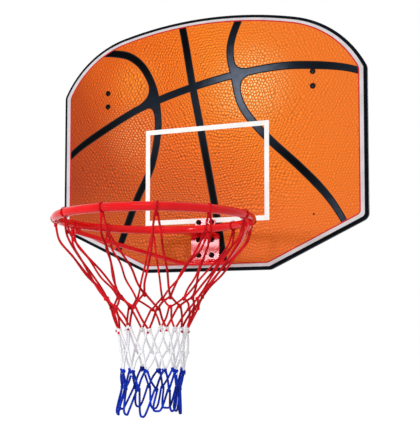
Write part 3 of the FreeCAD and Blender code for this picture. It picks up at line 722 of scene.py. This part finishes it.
def twine(line):
    """Points and faces of a three-strand twisted cord along a line."""
    route = np.array([tuple(p) for p in line])
    run = run_lengths(route)
    count = max(3, int(run[-1] / TWINE_STEP))
    stations = np.linspace(0, run[-1], count)
    centres = [Vector(p) for p in places_along(route, run, stations)]
    points, faces = [], []
    side = (centres[1] - centres[0]).orthogonal()
    neighbours = zip(stations, centres[:1] + centres[:-1], centres, centres[1:] + centres[-1:])
    for station, before, here, after in neighbours:
        along = (after - before).normalized()
        side = (side - along * side.dot(along)).normalized()
        other = along.cross(side)
        for corner in range(TWINE_SIDES):
            turn = 2 * math.pi * (corner / TWINE_SIDES + station / TWINE_PITCH)
            strand = math.cos(2 * math.pi * TWINE_STRANDS * corner / TWINE_SIDES)
            thick = TWINE_RADIUS * (1 - TWINE_GROOVE + TWINE_GROOVE * strand)
            points.append(here + (side * math.cos(turn) + other * math.sin(turn)) * thick)
    for ring in range(count - 1):
        for corner in range(TWINE_SIDES):
            a, b = ring * TWINE_SIDES + corner, ring * TWINE_SIDES + (corner + 1) % TWINE_SIDES
            faces.append((a, b, b + TWINE_SIDES, a + TWINE_SIDES))
    faces.append(tuple(reversed(range(TWINE_SIDES))))
    faces.append(tuple(range((count - 1) * TWINE_SIDES, count * TWINE_SIDES)))
    return points, faces


def press_on_bar(points, knot):
    """Flattens the part of a loop that bears on the rim bar above its knot."""
    bar, radial = bar_above(knot), outward_of(knot)
    surface = BAR_RADIUS + LOOP_CLEARANCE
    thick = 2 * TWINE_RADIUS
    for point in points:
        across, up = (point - bar).dot(radial), (point - bar).dot(UP)
        reach = math.hypot(across, up)
        high = reach - surface
        pressed = LOOP_PRESS * high if high < thick else high - (1 - LOOP_PRESS) * thick
        point += (radial * across + UP * up) * ((surface + pressed) / reach - 1)


def overhand_knot(centre, size):
    """Line of a pulled-tight overhand knot, a trefoil that lies flat on the net."""
    outward = outward_of(centre)
    beside = UP.cross(outward)
    tilt = hand.uniform(0, 2 * math.pi)
    scale = (size / 2 - TWINE_RADIUS * KNOT_TIGHTNESS) / TREFOIL_REACH
    line = []
    for step in range(KNOT_STEPS + 1):
        t = 2 * math.pi * step / KNOT_STEPS
        x = math.sin(t) + 2 * math.sin(2 * t)
        y = math.cos(t) - 2 * math.cos(2 * t)
        line.append(centre + (beside * (x * math.cos(tilt) - y * math.sin(tilt))
                              + UP * (x * math.sin(tilt) + y * math.cos(tilt))
                              - outward * math.sin(3 * t) * KNOT_DEPTH) * scale)
    return line


def lay(name, line, on_bar_above=None):
    """Adds one cord to a piece of the net; a cord that goes over the rim bar is pressed on it."""
    cord_points, cord_faces = twine(line)
    if on_bar_above is not None:
        press_on_bar(cord_points, on_bar_above)
    points, faces = net_meshes.setdefault(name, ([], []))
    faces += [tuple(i + len(points) for i in face) for face in cord_faces]
    points += cord_points


# Knots of the loops and of each row, where the part has them, with some lean and sway in the rows
loop_drop = BAR_RADIUS + LOOP_CLEARANCE + KNOT_HEIGHT / 2
knots = [[ring_point(loop_turn(index), RIM_RADIUS, loop_drop) for index in range(NET_LOOPS)]]
for row in range(LAST_ROW):
    half_mesh = 0.5 * ((row + 1) % 2)
    lean = LEAN_WAY * ROW_LEAN[row] * MM
    row_knots = []
    for index in range(NET_LOOPS):
        turn = math.radians(NET_CLOCK + NET_TWIST + (index + half_mesh) * 360 / NET_LOOPS)
        place = ring_point(turn, RIM_RADIUS * ROW_RADIUS_SHARES[row], NET_LENGTH * ROW_DROP_SHARES[row])
        row_knots.append(place + lean + sway(ROW_SWAY[row] * MM))
    knots.append(row_knots)

for knot in knots[0]:
    radial = outward_of(knot)
    lean = UP.cross(radial) * hand.uniform(-LOOP_LEAN, LOOP_LEAN)
    round_bar = []
    for turn in (math.radians(degrees) for degrees in LOOP_ARC):
        way = radial * math.cos(turn) + UP * math.sin(turn)
        lean_share = 0.5 + 0.5 * math.sin(turn)
        round_bar.append(bar_above(knot) + way * LOOP_RADIUS + lean * lean_share)
    lay("net_rim_loops", smooth_line([knot, *round_bar, knot], TWINE_STEP), on_bar_above=knot)
    lay("net_rim_loops", overhand_knot(knot, KNOT_SIZE))

# The rows of meshes: each lower knot joins a strand from two neighbouring knots above it.
for row, colour_name in enumerate(ROW_COLOURS, start=1):
    name = "net_%s_%d" % (colour_name, ROW_COLOURS[:row].count(colour_name))
    ends_in_own_knot = row < LAST_ROW and ROW_COLOURS[row] == colour_name
    starts_own_knot = row > 1 and ROW_COLOURS[row - 2] != colour_name
    for index, lower in enumerate(knots[row]):
        first = index if row % 2 else index - 1
        starts = []
        for step, way in ((0, 1), (1, -1)):
            upper = knots[row - 1][(first + step) % NET_LOOPS]
            starts.append(upper + UP.cross(outward_of(upper)) * way * STRAND_OFFSET)
        if row == LAST_ROW:
            wide = UP.cross(outward_of(lower)) * hand.uniform(*END_HALF_WIDTHS)
            high = UP * hand.uniform(*END_RISES)
            route = [starts[0], lower - wide + high, lower + sway(END_SWAY), lower + wide + high, starts[1]]
            lay(name, smooth_line(route, TWINE_STEP))
            continue
        for start in starts:
            route = [start, (start + lower) / 2 + sway(STRAND_SWAY), lower]
            if row == 1:
                belly = start + (lower - start) * BELLY_SHARE + outward_of(start) * STRAND_BELLY
                slack = [belly + (lower - belly) * share + sway(SLACK_SWAY) for share in SLACK_SHARES]
                route = [start, belly, *slack, lower]
            lay(name, smooth_line(route, TWINE_STEP))
        if ends_in_own_knot:
            lay(name, overhand_knot(lower, KNOT_SIZE))
        else:
            tail = lower - UP * TAIL_DROP + outward_of(lower) * TAIL_OUT + sway(TAIL_SWAY)
            lay(name, [lower, (lower + tail) / 2, tail])
    if starts_own_knot:
        for upper in knots[row - 1]:
            lay(name, overhand_knot(upper, JOIN_KNOT_SIZE))

# Polypropylene twine has a dull silky shine. Its colour runs from a deep to a pale tone along fine fibre
# streaks, drawn about three times as coarse as they are, and along longer stretches of cord. The pale tone
# is painted sheen and the deep tone is painted shade, mixed with the dye's own unevenness.
FIBRE_STREAK = 1.1 * MM
FIBRE_STREAK_RELIEF = 0.3 * MM
SHADE_SHEEN_STRETCH = 28 * MM
twines = {}
for colour_name, deep, pale in (("red", "#A0040C", "#FF222C"), ("white", "#F4F5FB", "#FFFFFF"),
                                ("blue", "#010A5C", "#1648EC")):
    finish, tree = blank_material("polypropylene_twine_" + colour_name)
    where = add(tree, "ShaderNodeTexCoord").outputs["Object"]
    streaks = add(tree, "ShaderNodeTexNoise", {"Vector": where, "Scale": 1 / FIBRE_STREAK, "Detail": 3.0,
                                               "Distortion": 0.6})
    shade_and_sheen_stretches = add(tree, "ShaderNodeTexNoise", {"Vector": where, "Scale": 1 / SHADE_SHEEN_STRETCH, "Detail": 2.0})
    painted_sheen_share = add(tree, "ShaderNodeMath", {0: streaks.outputs["Fac"], 1: shade_and_sheen_stretches.outputs["Fac"]},
                   operation="MULTIPLY")
    # The share picks the tone: its high end paints sheen in the pale tone, its low end paints shade in the
    # deep tone.
    tone = add(tree, "ShaderNodeValToRGB", {"Fac": painted_sheen_share.outputs["Value"]},
               stops=((0.12, deep), (0.4, pale)))
    nap = add(tree, "ShaderNodeBump", {"Height": streaks.outputs["Fac"], "Strength": 0.25,
                                       "Distance": FIBRE_STREAK_RELIEF})
    surface = add(tree, "ShaderNodeBsdfPrincipled", {"Base Color": tone.outputs["Color"], "Roughness": 0.55,
                                                     "IOR": 1.49, "Specular IOR Level": 0.08,
                                                     "Normal": nap.outputs["Normal"]})
    add(tree, "ShaderNodeOutputMaterial", {"Surface": surface.outputs["BSDF"]})
    twines[colour_name] = finish

for name, (points, faces) in net_meshes.items():
    colour_name = "red" if name == "net_rim_loops" else name.split("_")[1]
    cords = make_piece(name.replace("net_", "twine_"), points, faces, [twines[colour_name]], smooth=True)
    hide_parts(name)


# Studio. A paper floor well below the net, an even white world and three soft lamps: a weak one in front,
# a small bright one from the left and one behind the board. World and paper look white to the eye and in
# gloss; the paper's diffuse part keeps the object's shadow.
FLOOR_DROP = 0.45
FLOOR_SIZE = 40
PAPER_CLOUD = 20 * MM
PAPER_OWN_LIGHT = 0.52
WORLD_LEVEL = 0.73
BOARD_MIDDLE = Vector((0, 0, -0.2))
SOFTBOXES = (
    ("front_softbox", Vector((0.4, -2.2, 1.0)), 0.7, 0.7, 6, "#FFF8F0"),
    ("left_softbox", Vector((-0.95, -2.25, 0.0)), 0.24, 0.42, 19, "#F4F8FF"),
    ("back_softbox", Vector((0.5, 2.4, 0.7)), 1.4, 1.4, 20, "#FFFFFF"),
)


def seen_share(tree):
    """One on camera, glossy and transmission rays, which are to see white, and zero on all others."""
    path = add(tree, "ShaderNodeLightPath")
    sharp = add(tree, "ShaderNodeMath", {0: path.outputs["Is Camera Ray"],
                                         1: path.outputs["Is Glossy Ray"]}, operation="MAXIMUM")
    seen = add(tree, "ShaderNodeMath", {0: sharp.outputs["Value"], 1: path.outputs["Is Transmission Ray"]},
               operation="MAXIMUM")
    return seen.outputs["Value"]


# Matt paper, a little cloudy from its pulp, with light of its own
paper, tree = blank_material("white_paper_floor")
pulp = add(tree, "ShaderNodeTexNoise", {"Scale": 1 / PAPER_CLOUD, "Detail": 3.0})
tone = add(tree, "ShaderNodeValToRGB", {"Fac": pulp.outputs["Fac"]},
           stops=((0.3, "#D4D4D4"), (0.7, "#DCDCDC")))
sheet = add(tree, "ShaderNodeBsdfDiffuse", {"Color": tone.outputs["Color"]})
own_light = add(tree, "ShaderNodeMath", {0: seen_share(tree), 1: PAPER_OWN_LIGHT}, operation="MULTIPLY")
white = add(tree, "ShaderNodeEmission", {"Strength": own_light.outputs["Value"]})
both = add(tree, "ShaderNodeAddShader", {0: sheet.outputs["BSDF"], 1: white.outputs["Emission"]})
add(tree, "ShaderNodeOutputMaterial", {"Surface": both.outputs["Shader"]})
half = FLOOR_SIZE / 2
floor_level = cad_box[0].z - FLOOR_DROP
floor_sides = ((-half, -half), (half, -half), (half, half), (-half, half))
floor_corners = [(x, y, floor_level) for x, y in floor_sides]
floor_mesh = bpy.data.meshes.new("studio_floor")
floor_mesh.from_pydata(floor_corners, [], [(0, 1, 2, 3)])
floor_mesh.materials.append(paper)
floor = bpy.data.objects.new("studio_floor", floor_mesh)
bpy.context.scene.collection.objects.link(floor)

world = bpy.data.worlds.new("white_studio")
bpy.context.scene.world = world
world.use_nodes = True
tree = world.node_tree
tree.nodes.clear()
level = add(tree, "ShaderNodeMapRange", {"Value": seen_share(tree), "To Min": WORLD_LEVEL, "To Max": 1.0})
sky = add(tree, "ShaderNodeBackground", {"Color": (1, 1, 1, 1), "Strength": level.outputs["Result"]})
add(tree, "ShaderNodeOutputWorld", {"Surface": sky.outputs["Background"]})

for name, place, wide, tall, power, tint in SOFTBOXES:
    lamp = bpy.data.lights.new(name, "AREA")
    lamp.shape = "RECTANGLE"
    lamp.size = wide
    lamp.size_y = tall
    lamp.energy = power
    lamp.color = linear(tint)[:3]
    holder = bpy.data.objects.new(name, lamp)
    holder.location = place
    holder.rotation_euler = (BOARD_MIDDLE - place).to_track_quat("-Z", "Y").to_euler()
    bpy.context.scene.collection.objects.link(holder)


# Camera. It stands to the right of the board, below the rim, and looks up a little, with a lens fitted to
# the photograph. The lens is shifted upwards, which keeps the panel's sides nearly upright.
CAMERA_PLACE = (0.7467, -1.8386, -0.5257)
CAMERA_YAW = 22.015
CAMERA_PITCH = 3.699
CAMERA_LENS = 75.73
CAMERA_SHIFT = 0.125
CAMERA_FAR_END = 100
view = bpy.data.cameras.new("photo_camera")
view.lens = CAMERA_LENS
view.shift_y = CAMERA_SHIFT
view.clip_end = CAMERA_FAR_END
camera = bpy.data.objects.new("photo_camera", view)
camera.location = CAMERA_PLACE
camera.rotation_euler = (math.radians(90 + CAMERA_PITCH), 0, math.radians(CAMERA_YAW))
bpy.context.scene.collection.objects.link(camera)
bpy.context.scene.camera = camera
bpy.context.scene.view_settings.view_transform = "Standard"
